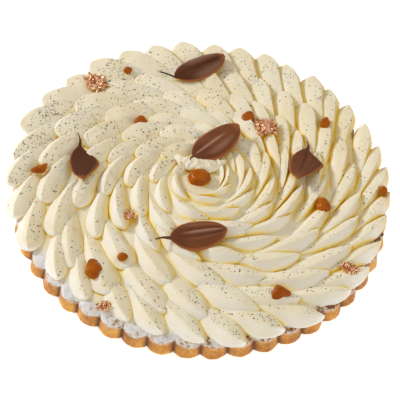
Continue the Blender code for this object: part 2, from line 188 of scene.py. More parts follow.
# as in the solids: base, tip and stem end in plan, half widths left and right of the midrib, rise of the
# tip, how far along the left half runs out to a corner; then the kind of relief, and how light the leaf is
LEAVES = (
    ("leaf_back", (-28.9, 99.9), (7.6, 127.7), (-41.7, 104.1), (11.5, 11.5), 1.0, None, "crease", 0.15),
    ("leaf_centre", (-8.0, 15.2), (22.8, 48.8), (-10.2, 11.6), (12.0, 12.8), 3.0, None, "ridge", 0.9),
    ("leaf_front", (-18.1, -59.1), (20.8, -46.8), (-28.4, -61.4), (12.8, 12.8), 0.5, None, "ribs", 0.9),
    ("leaf_left", (-92.5, 20.2), (-85.5, -14.8), (-95.6, 33.2), (15.5, 8.5), 6.0, 0.38, "pleats", 0.0),
    ("leaf_right", (76.0, 37.2), (68.9, 2.7), (75.2, 44.3), (15.5, 10.0), 6.0, 0.27, "fold", 0.75),
)

# caramel drops
DROP_SUNK = 0.65
DROP_LUMPS = 0.16
DROP_BUMPS = 0.04
# as in the solids: middle in plan, half sizes, turn in degrees; then how much a drop narrows towards its
# far end, and how much it bends, as shares of its half width
DROPS = (
    ("caramel_1", (-66.4, 105.4), (3.4, 3.0, 2.6), 20, 0.0, 0.0),
    ("caramel_2", (-50.2, 51.7), (5.2, 3.8, 3.0), 0, 0.2, -0.5),
    ("caramel_3", (-117.7, -3.8), (6.4, 3.4, 2.8), 35, -0.3, 0.5),
    ("caramel_4", (-67.9, -87.2), (5.8, 8.0, 4.6), 15, 0.1, 0.0),
    ("caramel_5", (-1.8, -0.2), (8.2, 6.9, 5.2), 10, 0.2, 0.2),
    ("caramel_6", (30.4, 65.7), (4.6, 6.2, 4.0), -20, 0.35, 0.2),
    ("caramel_7", (89.4, 70.2), (3.6, 5.4, 3.4), -10, 0.3, 0.0),
    ("caramel_8", (89.2, -11.6), (5.2, 6.4, 4.0), 10, 0.25, 0.0),
    ("caramel_9", (60.3, -91.3), (6.6, 5.4, 4.0), 20, 0.3, -0.2),
    ("caramel_10", (133.9, 9.2), (3.0, 4.4, 3.2), 0, 0.0, 0.0),
    ("caramel_11", (-49.5, -76.3), (3.6, 3.4, 2.6), 0, 0.0, 0.0),
)

# crinkled copper foil
FLAKE_CRINKLE = 1.28 * MM
FLAKE_THICKNESS = 0.25 * MM
FLAKE_CELLS = 30
FLAKE_SHEETS = ((1.0, 0.0), (0.72, 55.0))  # each torn sheet's size and further turn in degrees
SHEET_GAP = 0.5 * MM
FLAKE_BELOW = 0.5 * MM  # how far folds may reach below the solid
FLAKE_ABOVE = 0.8 * MM  # and above it
# as in the solids: middle in plan, half sizes, turn in degrees
FLAKES = (
    ("foil_1", (-88.8, 87.6), (9.5, 11.5), 25),
    ("foil_2", (43.9, 55.2), (11.0, 10.5), 10),
    ("foil_3", (-48.9, -39.8), (4.6, 5.4), 0),
    ("foil_4", (-57.9, -114.3), (6.0, 4.0), 30),
    ("foil_5", (108.3, -64.9), (8.0, 5.5), -25),
)

# ground vanilla
SPECK_COUNT = 3000
SPECK_FIELD = 141 * MM
SPECK_CORNERS = 5
SPECK_LEAST = 0.22 * MM
SPECK_LARGER = 0.38 * MM  # the largest are larger than the least by this
# each kind: name, dark and light colour, share
SPECK_KINDS = (
    ("speck_dark", (0.010, 0.006, 0.004), (0.05, 0.025, 0.012), 0.45),
    ("speck_ochre", (0.30, 0.15, 0.04), (0.50, 0.28, 0.08), 0.35),
    ("speck_brown", (0.12, 0.07, 0.045), (0.22, 0.14, 0.10), 0.2),
)

# colours, in linear light
BLACK = (0.0, 0.0, 0.0)
CREAM_YELLOW = (0.88, 0.80, 0.58)
CREAM_PALE = (0.91, 0.865, 0.71)
CREAM_GRAIN = (0.72, 0.60, 0.38)
CREAM_LIT_FLANK = (0.92, 0.90, 0.84)
CREAM_PAINTED_SHADE = (0.82, 0.62, 0.25)
CREAM_GAP_SHADE = (0.92, 0.72, 0.22)
SHADE_GOLD_DEEP = (0.86, 0.52, 0.015)
SHADE_GOLD_CLEAR = (0.96, 0.74, 0.09)
SHADE_GOLD_PALE = (0.98, 0.88, 0.48)
CRUMB_DARK = (0.22, 0.085, 0.02)
CRUMB_LIGHT = (0.55, 0.38, 0.22)
SUGAR_THIN = (0.72, 0.69, 0.66)
SUGAR_THICK = (0.78, 0.79, 0.82)
CRUST_BROWN = (0.30, 0.080, 0.003)
CRUST_AMBER = (0.58, 0.225, 0.012)
CRUST_GOLDEN = (0.80, 0.43, 0.06)
CRUST_CRUMBLY = (0.78, 0.45, 0.13)
CRUST_FOLD_SHADE = (0.17, 0.050, 0.006)
CRUST_SUGARED = (0.68, 0.62, 0.58)
DARK_CHOCOLATE = ((0.3, (0.075, 0.019, 0.005)), (0.7, (0.105, 0.030, 0.009)))
MILK_CHOCOLATE = ((0.3, (0.165, 0.048, 0.013)), (0.7, (0.225, 0.073, 0.024)))
CHOCOLATE_RIB_SHEEN = (0.46, 0.27, 0.19)
CHOCOLATE_EDGE = (0.42, 0.125, 0.035)
CARAMEL_DARK = (0.32, 0.070, 0.0002)
CARAMEL_CLEAR = (0.46, 0.120, 0.002)
COPPER_CREASE_SHADE = (0.10, 0.022, 0.006)
COPPER_DARK = (0.66, 0.20, 0.055)
COPPER_CLEAR = (0.96, 0.46, 0.21)
COPPER_GLINT = (1.0, 0.82, 0.66)
AWAY_FROM_KEY = (0.90, 0.38, 0.0)  # direction in plan, away from the key light
DUST_DARKER_TO_RIGHT = -1.1  # per metre: the dust runs darker and browner towards the right
NEAR_GAP = 7.5 * MM
WIDE_GAP = 10 * MM
OCCLUSION_SAMPLES = 8

# stage, light and camera
FLOOR_HALF_SIZE = 8.0
FLOOR_BELOW = 0.3 * MM
FLOOR_GLOW = 0.62
WORLD_COLOUR = (1.0, 0.925, 0.80, 1.0)
WORLD_STRENGTH = 0.47
# each light: place, size, power and colour
LIGHTS = (
    ("key", (-2.55, 0.85, 1.55), 0.55, 53.0, (0.99, 0.97, 0.98)),
    ("fill", (1.1, -1.0, 1.2), 1.4, 8.0, (1.0, 0.97, 0.93)),
)
CAMERA_ELEVATION = math.radians(51.06)
CAMERA_ROLL = math.radians(-5.72)
CAMERA_OFFSETS = (-0.0006, 0.0002, 7.0)  # aside, up and back, in shell radii
CAMERA_FOCAL_PX = 1270.4
PHOTO_WIDTH_PX = 400
SENSOR_WIDTH = 36


# node helpers
class Look:
    """A new material, with short ways to add the nodes that give it its colour."""

    def __init__(self, name):
        self.material = bpy.data.materials.new(name)
        self.material.use_nodes = True
        self.nodes = self.material.node_tree.nodes
        self.links = self.material.node_tree.links
        self.shader = self.nodes["Principled BSDF"]
        self.place = self.nodes.new("ShaderNodeTexCoord").outputs["Object"]

    def join(self, value, socket):
        """Links the value to the socket, or sets it there where it is a number, a vector or a colour."""
        if isinstance(value, bpy.types.NodeSocket):
            self.links.new(value, socket)
        elif socket.type == "RGBA":
            socket.default_value = (*value, 1.0)
        else:
            socket.default_value = value

    def add(self, kind, values, **settings):
        """Adds a node with these settings, and joins the values to its inputs."""
        node = self.nodes.new(kind)
        for key, setting in settings.items():
            setattr(node, key, setting)
        for key, value in values.items():
            self.join(value, node.inputs[key])
        return node

    def noise(self, scale, detail=4.0, roughness=0.55, distortion=0.0, place=None):
        place = self.place if place is None else place
        values = {"Scale": scale, "Detail": detail, "Roughness": roughness, "Distortion": distortion}
        return self.add("ShaderNodeTexNoise", {"Vector": place, **values}).outputs["Fac"]

    def ramp(self, source, *stops):
        """A colour that runs between the stops, each a place and a colour."""
        node = self.add("ShaderNodeValToRGB", {"Fac": source})
        elements = node.color_ramp.elements
        while len(elements) < len(stops):
            elements.new(0.5)
        for element, (place, colour) in zip(elements, stops):
            element.position = place
            element.color = (*colour, 1.0)
        return node.outputs["Color"]

    def fade(self, source, start, end):
        """A share that runs between two stops, each a place and a share."""
        return self.ramp(source, *((place, (share, share, share)) for place, share in (start, end)))

    def grow(self, source, low, high, least=0.0):
        """A share that grows from the least to 1 while the source runs from low to high."""
        values = {"Value": source, "From Min": low, "From Max": high, "To Min": least}
        return self.add("ShaderNodeMapRange", values).outputs["Result"]

    def mix(self, share, first, second):
        return self.add("ShaderNodeMix", {0: share, 6: first, 7: second}, data_type="RGBA").outputs[2]

    def maths(self, operation, *values):
        return self.add("ShaderNodeMath", dict(enumerate(values)), operation=operation).outputs[0]

    def vectors(self, operation, *values):
        node = self.add("ShaderNodeVectorMath", dict(enumerate(values)), operation=operation)
        return node.outputs["Vector" if operation == "MULTIPLY" else "Value"]

    def axes(self, vector):
        return self.add("ShaderNodeSeparateXYZ", {0: vector}).outputs

    def attribute(self, name):
        return self.add("ShaderNodeAttribute", {}, attribute_name=name).outputs["Fac"]

    def openness(self, distance):
        """1 in the open, and less where something stands within this distance."""
        node = self.add("ShaderNodeAmbientOcclusion", {"Distance": distance}, samples=OCCLUSION_SAMPLES)
        return node.outputs["AO"]

    def bump(self, height, strength, distance):
        node = self.add("ShaderNodeBump", {"Height": height, "Strength": strength, "Distance": distance})
        self.links.new(node.outputs["Normal"], self.shader.inputs["Normal"])

    def finish(self, colour, **values):
        """Gives the shader its colour and these inputs, and returns the material."""
        self.join(colour, self.shader.inputs["Base Color"])
        for key, value in values.items():
            self.join(value, self.shader.inputs[key.replace("_", " ")])
        return self.material


# materials
def rim_dust(look, colour):
    """The cream's colour, with icing sugar and brown crumbs mixed in where it lies over the rim, darker
    towards the right.
    """
    radius = look.vectors("LENGTH", look.vectors("MULTIPLY", look.place, (1.0, 1.0, 0.0)))
    on_rim = look.grow(radius, BAND_FROM, BAND_FROM + 5 * MM)
    crumbly = look.noise(330.0, 4.0, 0.65)
    crumbs = look.maths("MULTIPLY_ADD", look.axes(look.place)["X"], DUST_DARKER_TO_RIGHT, crumbly)
    dust = look.ramp(crumbs, (0.36, CRUMB_DARK), (0.43, CRUMB_LIGHT), (0.48, SUGAR_THIN), (0.62, SUGAR_THICK))
    return look.mix(on_rim, colour, dust)


def painted_gap_shade(look, colour):
    """The colour with gold painted into the narrow gaps as their shade: in stretches, and more of it towards
    the front.
    """
    near = look.openness(NEAR_GAP)
    gold = look.ramp(near, (0.20, SHADE_GOLD_DEEP), (0.45, SHADE_GOLD_CLEAR), (0.80, SHADE_GOLD_PALE))
    share = look.fade(near, (0.50, 1.0), (0.74, 0.0))
    stretches = look.fade(look.noise(75.0, 2.0), (0.38, 0.2), (0.50, 1.0))
    axes = look.axes(look.place)
    in_front = look.grow(look.maths("SUBTRACT", axes["X"], axes["Y"]), -120 * MM, -10 * MM, 0.25)
    for less in (stretches, in_front):
        share = look.mix(less, BLACK, share)
    return look.mix(share, colour, gold)


def cream_material(name, on_rim=False):
    look = Look(name)
    colour = look.ramp(look.noise(28.0, 3.0), (0.35, CREAM_YELLOW), (0.65, CREAM_PALE))
    grain = look.fade(look.noise(1300.0, 2.0, 0.6), (0.50, 0.0), (0.70, 0.5))
    colour = look.mix(grain, colour, CREAM_GRAIN)
    normal = look.add("ShaderNodeNewGeometry", {}).outputs["Normal"]
    # painted light: steep flanks are painted whiter, as if lit by the key light, while the flatter tops stay
    # beige
    flank = look.fade(look.axes(normal)["Z"], (0.62, 1.0), (0.88, 0.0))
    colour = look.mix(flank, colour, CREAM_LIT_FLANK)
    # painted shade: sides that face away from the key light are painted golden beige, as they look in shade
    shaded_side = look.fade(look.vectors("DOT_PRODUCT", normal, AWAY_FROM_KEY), (0.40, 0.0), (0.74, 0.95))
    colour = look.mix(shaded_side, colour, CREAM_PAINTED_SHADE)
    # painted shade: a warm tone where other cream stands near, deepening the wide gaps as shade
    wide_gap_shade = look.fade(look.openness(WIDE_GAP), (0.28, 0.95), (0.70, 0.0))
    colour = painted_gap_shade(look, look.mix(wide_gap_shade, colour, CREAM_GAP_SHADE))
    if on_rim:
        colour = rim_dust(look, colour)
    look.bump(look.noise(700.0, 4.0, 0.65), 0.4, 0.4 * MM)
    return look.finish(
        colour, Roughness=0.55, Specular_IOR_Level=0.35, Subsurface_Weight=0.25,
        Subsurface_Radius=(1.0, 0.75, 0.35), Subsurface_Scale=2.5 * MM)


def pastry_material():
    look = Look("pastry_baked")
    patches = look.noise(60.0, 5.0, 0.65)
    colour = look.ramp(patches, (0.30, CRUST_BROWN), (0.48, CRUST_AMBER), (0.66, CRUST_GOLDEN))
    crumbs = look.noise(420.0, 4.0, 0.7)
    colour = look.mix(look.fade(crumbs, (0.50, 0.0), (0.68, 0.55)), colour, CRUST_CRUMBLY)
    # painted shade in the hollows between the flutes
    folds = look.fade(look.attribute("crease"), (0.30, 0.0), (0.80, 0.95))
    colour = look.mix(folds, colour, CRUST_FOLD_SHADE)
    near_top = look.grow(look.axes(look.place)["Z"], SHELL_HEIGHT - 3.2 * MM, SHELL_HEIGHT - 0.9 * MM)
    patchy = look.fade(look.noise(300.0, 3.0), (0.38, 0.0), (0.55, 1.0))
    colour = look.mix(look.maths("MULTIPLY", near_top, patchy), colour, CRUST_SUGARED)
    look.bump(crumbs, 0.6, 0.8 * MM)
    return look.finish(colour, Roughness=0.5)


def chocolate_material():
    look = Look("chocolate_satin")
    patches = look.noise(70.0, 2.0)
    dark, milk = look.ramp(patches, *DARK_CHOCOLATE), look.ramp(patches, *MILK_CHOCOLATE)
    # the light attribute carries painted shade in the sunken parts of each leaf
    colour = look.mix(look.attribute("light"), dark, milk)
    # painted highlight: a paler tone along the raised ribs stands in for their sheen
    colour = look.mix(look.attribute("ribs"), colour, CHOCOLATE_RIB_SHEEN)
    colour = look.mix(look.attribute("edge"), colour, CHOCOLATE_EDGE)
    look.bump(look.noise(500.0, 2.0), 0.08, 0.3 * MM)
    return look.finish(colour, Roughness=0.34, Specular_IOR_Level=0.22, Coat_Weight=0.12, Coat_Roughness=0.22)


def caramel_material():
    look = Look("caramel_glossy")
    colour = look.ramp(look.noise(110.0, 1.0), (0.3, CARAMEL_DARK), (0.7, CARAMEL_CLEAR))
    look.bump(look.noise(160.0, 1.0), 0.12, 0.6 * MM)
    return look.finish(
        colour, Roughness=0.2, Specular_IOR_Level=0.18, Subsurface_Weight=0.3,
        Subsurface_Radius=(1.0, 0.4, 0.1), Subsurface_Scale=2 * MM)


def foil_material():
    """Copper with pale strands that cross each other: painted glints on them and painted shade in the dark
    gaps between stand in for the crumpled foil's reflections.
    """
    look = Look("copper_crinkled")
    strands = []
    for stretch in ((1.0, 0.22, 1.0), (0.22, 1.0, 1.0)):
        drawn = look.vectors("MULTIPLY", look.place, stretch)
        strands.append(look.noise(900.0, 2.0, 0.6, 1.0, drawn))
    crossing = look.maths("MULTIPLY", look.maths("ADD", *strands), 0.5)
    colour = look.ramp(
        crossing, (0.41, COPPER_CREASE_SHADE), (0.45, COPPER_DARK), (0.51, COPPER_CLEAR), (0.59, COPPER_GLINT))
    look.bump(look.noise(900.0, 2.0), 0.5, 0.6 * MM)
    return look.finish(colour, Metallic=0.5, Roughness=0.25)


def speck_material(name, dark, light):
    look = Look(name)
    colour = look.ramp(look.noise(400.0, 1.0), (0.35, dark), (0.65, light))
    return look.finish(colour, Roughness=0.7)


def floor_material():
    look = Look("floor_white")
    colour = look.fade(look.noise(3.0, 2.0), (0.3, 0.93), (0.7, 0.95))
    return look.finish(colour, Roughness=0.9, Emission_Color=(1.0, 1.0, 1.0), Emission_Strength=FLOOR_GLOW)


# mesh helpers
def object_of(mesh, material, smooth=True):
    """The mesh as an object of the scene, under the mesh's name."""
    mesh.polygons.foreach_set("use_smooth", [smooth] * len(mesh.polygons))
    mesh.materials.append(material)
    made = bpy.data.objects.new(mesh.name, mesh)
    bpy.context.scene.collection.objects.link(made)
    return made


def mesh_object(name, points, faces, material, smooth=True):
    mesh = bpy.data.meshes.new(name)
    mesh.from_pydata([tuple(point) for point in points], [], faces)
    mesh.update()
    return object_of(mesh, material, smooth)


def outward(made, merge_within=0.0):
    """The same object with its faces turned outward, and with points closer than this merged."""
    bm = bmesh.new()
    bm.from_mesh(made.data)
    if merge_within:
        bmesh.ops.remove_doubles(bm, verts=bm.verts, dist=merge_within)
    bmesh.ops.recalc_face_normals(bm, faces=bm.faces)
    bm.to_mesh(made.data)
    bm.free()
    return made


def set_attribute(made, name, values):
    """Keeps a number for each point of the mesh, for its material."""
    made.data.attributes.new(name, "FLOAT", "POINT").data.foreach_set("value", values)


def stands_for(piece, node):
    """Puts the piece in the frame in the place of a solid."""
    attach(piece, "root")
    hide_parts(node)


def lies_on_cream(piece):
    """Puts a piece in the frame that stands for no solid of its own."""
    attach(piece, "root")


def smooth_step(low, high, value):
    share = min(max((value - low) / (high - low), 0.0), 1.0)
    return share * share * (3 - 2 * share)


def ridged(place):
    """Noise with sharp folds, at most 1."""
    return 1 - 2 * abs(noise.noise(place))


def pressed(value, low, high):
    """The value, pressed in softly where it comes close to either limit."""
    if value < low + PRESS_FROM:
        return low + PRESS_FROM * (1 - math.tanh((low + PRESS_FROM - value) / PRESS_FROM))
    if value > high - PRESS_FROM:
        return high - PRESS_FROM * (1 - math.tanh((value - high + PRESS_FROM) / PRESS_FROM))
    return value


def ring_faces(first, stations, sides):
    """Faces between rings of points laid one after another, with both ends closed."""
    faces = []
    for station in range(stations - 1):
        low, high = first + station * sides, first + (station + 1) * sides
        for side in range(sides):
            after = (side + 1) % sides
            faces.append((low + side, low + after, high + after, high + side))
    last = first + (stations - 1) * sides
    faces.append(tuple(range(first, first + sides)))
    faces.append(tuple(range(last, last + sides)))
    return faces


# shell
def flute(angle):
    turn = (angle - FLUTE_PHASE) * FLUTE_COUNT / 2
    return abs(math.sin(turn)) ** 0.8


def quarter_turn(steps):
    """Sine and cosine of even steps through a right angle."""
    turns = [math.pi / 2 * step / (steps - 1) for step in range(steps)]
    return [(math.sin(turn), math.cos(turn)) for turn in turns]


def shell_profile():
    """Radius and height of each ring of the shell, from its top over the rim to its underside."""
    rim = SHELL_RADIUS - SHELL_LEAN
    top = SHELL_HEIGHT - TOP_SUNK
    shoulder = top - RIM_ROUND
    profile = [(radius, top) for radius in SHELL_INNER_RINGS]
    profile += [(rim - RIM_WIDTH + RIM_RING_STEP * ring, top) for ring in range(RIM_RINGS)]
    for sine, cosine in quarter_turn(5):
        profile.append((rim - RIM_ROUND * (1 - sine), shoulder + RIM_ROUND * cosine))
    for ring in range(1, WALL_RINGS):
        share = ring / WALL_RINGS
        profile.append((rim + SHELL_LEAN * share, shoulder * (1 - share) + FOOT_ROUND * share))
    for sine, cosine in quarter_turn(4):
        profile.append((SHELL_RADIUS - FOOT_ROUND * (1 - cosine), FOOT_ROUND * (1 - sine)))
    return profile + [(SHELL_INNER_RINGS[0], 0.0)]


def build_shell(material):
    """The fluted shell: uneven bumps from rim to foot, crumbly to the touch."""
    fluted_from = SHELL_RADIUS - SHELL_LEAN - FLUTES_INSIDE
    segments = FLUTE_COUNT * POINTS_PER_FLUTE
    profile = shell_profile()
    points, fold_shades = [], []
    for radius, height in profile:
        for segment in range(segments):
            angle = math.tau * segment / segments + FLUTE_PHASE
            aside, ahead = math.cos(angle), math.sin(angle)
            reach, rise, crease = radius, height, 0.0
            if radius > fluted_from:
                spot = Vector((aside * radius, ahead * radius, height))
                reach += (FLUTE_DEPTH - FLUTE_SHALLOWER) * flute(angle) - SHELL_SHRUNK
                reach += SHELL_BUMPS * noise.noise(spot * 80) + SHELL_CRUMBS * noise.noise(spot * 330)
                # painted shade: darkest deep in each hollow between the flutes, kept for the material
                crease = (1 - flute(angle)) ** 1.5
            if height > SHELL_HEIGHT - 1.0 * MM and radius > 100 * MM:
                rise += SHELL_TOP_BUMPS * noise.noise(Vector((aside, ahead, radius * 60)) * 22)
            fold_shades.append(crease)
            points.append((reach * aside, reach * ahead, min(max(rise, 0.0), SHELL_HEIGHT)))
    faces = ring_faces(0, len(profile), segments)
    made = outward(mesh_object("shell_baked", points, faces, material))
    set_attribute(made, "crease", fold_shades)
    return made


# cream
def crest_height(radius):
    share = min(radius / PETAL_RINGS[0][0], 1.0)
    return CREST_AT_CENTRE + (CREST_AT_RIM - CREST_AT_CENTRE) * share ** 1.4


def base_height(radius):
    """Level of the cream between the petals."""
    share = RELIEF_IN_MIDDLE + (1 - RELIEF_IN_MIDDLE) * smooth_step(*RELIEF_RISES_OVER, radius)
    return crest_height(radius) - PETAL_RELIEF * share - BASE_LOWER


def swirl_angle(x, y):
    """Angle between a petal that passes here and the line from the middle."""
    inward = 1 - min(math.hypot(x, y) / SHELL_RADIUS, 1.0)
    angle = math.atan2(y, x)
    wave = SWIRL_MORE_AT_SIDES * math.cos(2 * angle) - SWIRL_MORE_IN_FRONT * math.sin(angle)
    return SWIRL_AT_RIM + (SWIRL_AT_CENTRE - SWIRL_AT_RIM) * inward + wave * (1 - inward)


def petal_path(radius, angle, length, turn):
    """Places and headings along a petal, from its head inward."""
    x, y = radius * math.cos(angle), radius * math.sin(angle)
    path = []
    for _ in range(PATH_STEPS + 1):
        heading = math.atan2(y, x) + swirl_angle(x, y) + turn
        path.append((x, y, heading))
        x -= length / PATH_STEPS * math.cos(heading)
        y -= length / PATH_STEPS * math.sin(heading)
    return path


def path_at(path, share):
    place = share * PATH_STEPS
    first = min(int(place), PATH_STEPS - 1)
    part = place - first
    (x0, y0, h0), (x1, y1, h1) = path[first], path[first + 1]
    step = math.remainder(h1 - h0, math.tau)
    return x0 + (x1 - x0) * part, y0 + (y1 - y0) * part, h0 + step * part


def petal_width(share, pointed):
    """Width along a petal: a round or pointed head that widens to the middle, then a taper."""
    head_share = PETAL_HEAD_SHARE + PETAL_HEAD_LONGER * pointed
    if share < head_share:
        return (1 - (1 - share / head_share) ** 2) ** (0.5 + 0.28 * pointed)
    along = (share - head_share) / (1 - head_share)
    return 1 - (1 - PETAL_TAIL_WIDTH) * along ** 1.8


def petal_thickness(share):
    """Thickness along a petal: thinner towards the tip, full in the middle, less in the tail."""
    rising = smooth_step(0, PETAL_TIP_SHARE, share)
    closing = min(share / 0.03, 1.0)
    body = PETAL_TIP_THICKNESS + (1 - PETAL_TIP_THICKNESS) * rising
    return body * (1 - (1 - closing) ** 2) ** 0.5 - 0.35 * share ** 2


def petal_section(angle):
    """Section of a petal whose head is at this angle, as shares: from the flank over the crest, down the
    falling top and back underneath."""
    behind = min(max(0.5 + math.sin(angle) / PETAL_CREST_TURNS_OVER, 0.0), 1.0)
    crest = PETAL_CREST_IN_FRONT + (PETAL_CREST_AT_BACK - PETAL_CREST_IN_FRONT) * behind
    shares = []
    for step in range(FLANK_POINTS):
        part = (1 - step / FLANK_POINTS) ** 1.2
        shares.append((crest - (1 + crest) * part, 1 - 1.75 * part ** 1.12))
    shares.append((crest, 1.0))
    for step in range(1, TOP_POINTS + 1):
        part = (step / TOP_POINTS) ** 1.2
        shares.append((crest + (1 - crest) * part, 1 - 0.45 * part - 1.15 * part ** 3))
    return shares + [(0.7, -1.15), (0.0, -1.2), (-0.8, -1.15)]


def petal_points(path, spacing, top, angle, points, faces, chance):
    """Appends one piped petal's points and faces, lofted along its path."""
    first = len(points)
    section = petal_section(angle)
    pointed = (1 + math.cos(angle - PETAL_SHARPEST_AT)) / 2 + chance.uniform(-0.12, 0.12)
    pointed = min(max(pointed, 0.0), 1.0)
    offset = Vector((chance.uniform(0, 50), chance.uniform(0, 50), chance.uniform(0, 50)))
    shares = [(step / PETAL_STATIONS) ** 1.35 for step in range(PETAL_STATIONS + 1)]
    shares[0] = 0.0015
    for share in shares:
        x, y, heading = path_at(path, share)
        thick = PETAL_HALF_THICKNESS * petal_thickness(share)
        level = top - PETAL_HALF_THICKNESS - 0.4 * (PETAL_HALF_THICKNESS - thick)
        level -= PETAL_TAIL_SINK * share ** PETAL_TAIL_DROOP
        room = spacing * math.hypot(x, y) * math.cos(swirl_angle(x, y))
        wide = PETAL_FILL * room / 2 * petal_width(share, pointed)
        wide *= 1 + PETAL_WAVER * noise.noise(offset + Vector((share * 5, 0, 0)))
        for across_share, height_share in section:
            across = wide * across_share
            height = level + thick * height_share
            place = Vector((x - across * math.sin(heading), y + across * math.cos(heading), height))
            if height_share > -1.1:
                streak = noise.noise(Vector((across_share * 6, share * 2.0, offset.x)))
                place.z += PETAL_BUMPS * noise.noise(place * 75 + offset) + PETAL_STREAKS * streak
                place += PETAL_RAGGED * noise.noise_vector(place * 160)
            place.x = pressed(place.x, CAD_BOX[0][0], CAD_BOX[1][0])
            place.y = pressed(place.y, CAD_BOX[0][1], CAD_BOX[1][1])
            place.z = max(place.z, CREAM_FLOOR + 0.3 * MM)
            points.append(place)
    faces += ring_faces(first, PETAL_STATIONS + 1, len(section))


def head_place(number, count, first):
    """Angle of a petal's head and its share of the circle, closer together at one side."""
    even = first + math.tau * number / count
    spacing = math.tau / count * (1 - SPACING_WAVE * math.cos(even - SPACING_CLOSEST))
    return even - SPACING_WAVE * math.sin(even - SPACING_CLOSEST), spacing


def hump(angle, middle, width):
    """A smooth hump of height 1 round this angle."""
    return math.exp(-(math.remainder(angle - middle, math.tau) / width) ** 2)


def rim_reach(angle):
    """How much further out the outermost heads lie at this angle."""
    wave = RIM_WAVE * math.sin(angle) - RIM_SIDES * math.cos(angle) ** 2
    dip = RIM_DIP * hump(angle, RIM_DIP_AT, RIM_DIP_WIDTH)
    return wave - dip + RIM_BULGE * hump(angle, RIM_BULGE_AT, RIM_BULGE_WIDTH)


def rim_outline(angle):
    """Outer edge of the shell at this angle."""
    return SHELL_RADIUS - SHELL_LEAN + FLUTE_DEPTH * flute(angle)


def base_ring(ring, angle):
    """Radius and height of a ring of the base: between the petals, then the band, then its edge."""
    around = Vector((math.cos(angle), math.sin(angle), 0))
    ragged = 0.7 * noise.noise(around * 26) + 0.7 * noise.noise(around * 64)
    edge = rim_outline(angle) - BAND_INSIDE + BAND_RAGGED * ragged
    if ring <= BASE_RINGS:
        radius = BAND_FROM * ring / BASE_RINGS
        return radius, base_height(radius)
    if ring > BASE_RINGS + BAND_RINGS:
        return edge + BAND_LIP[0], SHELL_HEIGHT + BAND_LIP[1]
    part = (ring - BASE_RINGS) / BAND_RINGS
    inner, outer = base_height(BAND_FROM), CREAM_FLOOR + BAND_EDGE_HEIGHT
    height = inner + (outer - inner) * part ** 0.7 + BAND_SWELL * math.sin(math.pi * part)
    return BAND_FROM + (edge - BAND_FROM) * part, height


def build_cream_base(material):
    """The cream between the petals, and the thin band of it that is smeared over the rim."""
    segments = FLUTE_COUNT * BASE_POINTS_PER_FLUTE
    rings = BASE_RINGS + BAND_RINGS + 2
    points = []
    for ring in range(rings):
        for segment in range(segments):
            angle = math.tau * segment / segments + FLUTE_PHASE
            radius, height = base_ring(ring, angle)
            place = Vector((radius * math.cos(angle), radius * math.sin(angle), height))
            if ring < rings - 1:
                place.z += BASE_BUMPS * noise.noise(place * 150)
            if BASE_RINGS < ring < rings - 1:
                place.z += BAND_CRUMBS * noise.noise(place * 330)
            points.append(place)
    open_below = ring_faces(0, rings, segments)[:-1]
    return outward(mesh_object("cream_base", points, open_below, material), merge_within=0.01 * MM)


def build_cream(material):
    """All petals of all rings, in the places of the solid's petals."""
    chance = random.Random(SEED)
    detail = random.Random(SEED + 1)
    points, faces = [], []
    for ring, (radius, count, first, length) in enumerate(PETAL_RINGS):
        for number in range(count):
            angle, spacing = head_place(number, count, math.radians(first))
            angle += spacing * chance.uniform(-PLACE_VARIES, PLACE_VARIES)
            reach = radius + chance.uniform(-REACH_VARIES, REACH_VARIES)
            if ring == 0:
                reach += rim_reach(angle)
            turn = math.radians(chance.uniform(-TURN_VARIES, TURN_VARIES))
            path = petal_path(reach, angle, length * chance.uniform(*LENGTH_VARIES), turn)
            top = crest_height(radius) + chance.uniform(-LEVEL_VARIES, LEVEL_VARIES)
            spacing *= chance.uniform(*WIDTH_VARIES)
            spacing *= 1 + PETAL_WIDER_AT_LEFT * hump(angle, WIDEST_AT, WIDER_OVER)
            if ring >= INNER_RINGS_FROM:
                spacing *= 1 + PETAL_WIDER_INSIDE
            petal_points(path, spacing, top, angle, points, faces, detail)
    return outward(mesh_object("cream_petals", points, faces, material))


def along_torn(share):
    """Middle of the torn ribbon and its direction, at a share of its length."""
    place = share * (len(TORN_PATH) - 1)
    first = min(int(place), len(TORN_PATH) - 2)
    start, end = Vector(TORN_PATH[first]), Vector(TORN_PATH[first + 1])
    return start + (end - start) * (place - first), (end - start).normalized()


def build_torn_cream(material):
    """A ribbon of cream pushed up in ragged folds round the lower end of the middle leaf."""
    points = []
    for station in range(TORN_STATIONS + 1):
        share = station / TORN_STATIONS
        middle, ahead = along_torn(share)
        left = Vector((-ahead.y, ahead.x))
        taper = math.sin(math.pi * min(max(share, 0.015), 0.985)) ** 0.5
        row, foot = [], []
        for column in range(TORN_COLUMNS + 1):
            across = 2 * column / TORN_COLUMNS - 1
            jag = noise.noise(Vector((share * 17, across * 1.2, 0)))
            jag += 0.25 * noise.noise(Vector((share * 50, across * 2, 4)))
            reach = TORN_HALF_WIDTH * taper * across * (1 + (0.4 if across > 0 else 0.2) * jag)
            flat = middle + left * reach
            folds = ridged(Vector((flat.x, flat.y, 0)) * 0.15)
            folds += 0.25 * ridged(Vector((flat.x, flat.y, 9)) * 0.4)
            swell = (1 - across ** 4) * taper * (0.72 + 0.2 * across)
            height = TORN_FOOT + (TORN_TOP - TORN_FOOT) * swell * min(0.62 + 0.3 * folds, 1.0)
            row.append(Vector((flat.x * MM, flat.y * MM, height)))
            foot.append(Vector((flat.x * MM, flat.y * MM, TORN_FOOT - 0.4 * MM)))
        points += row + foot[::-1]
    faces = ring_faces(0, TORN_STATIONS + 1, 2 * (TORN_COLUMNS + 1))
    return outward(mesh_object("cream_torn", points, faces, material))


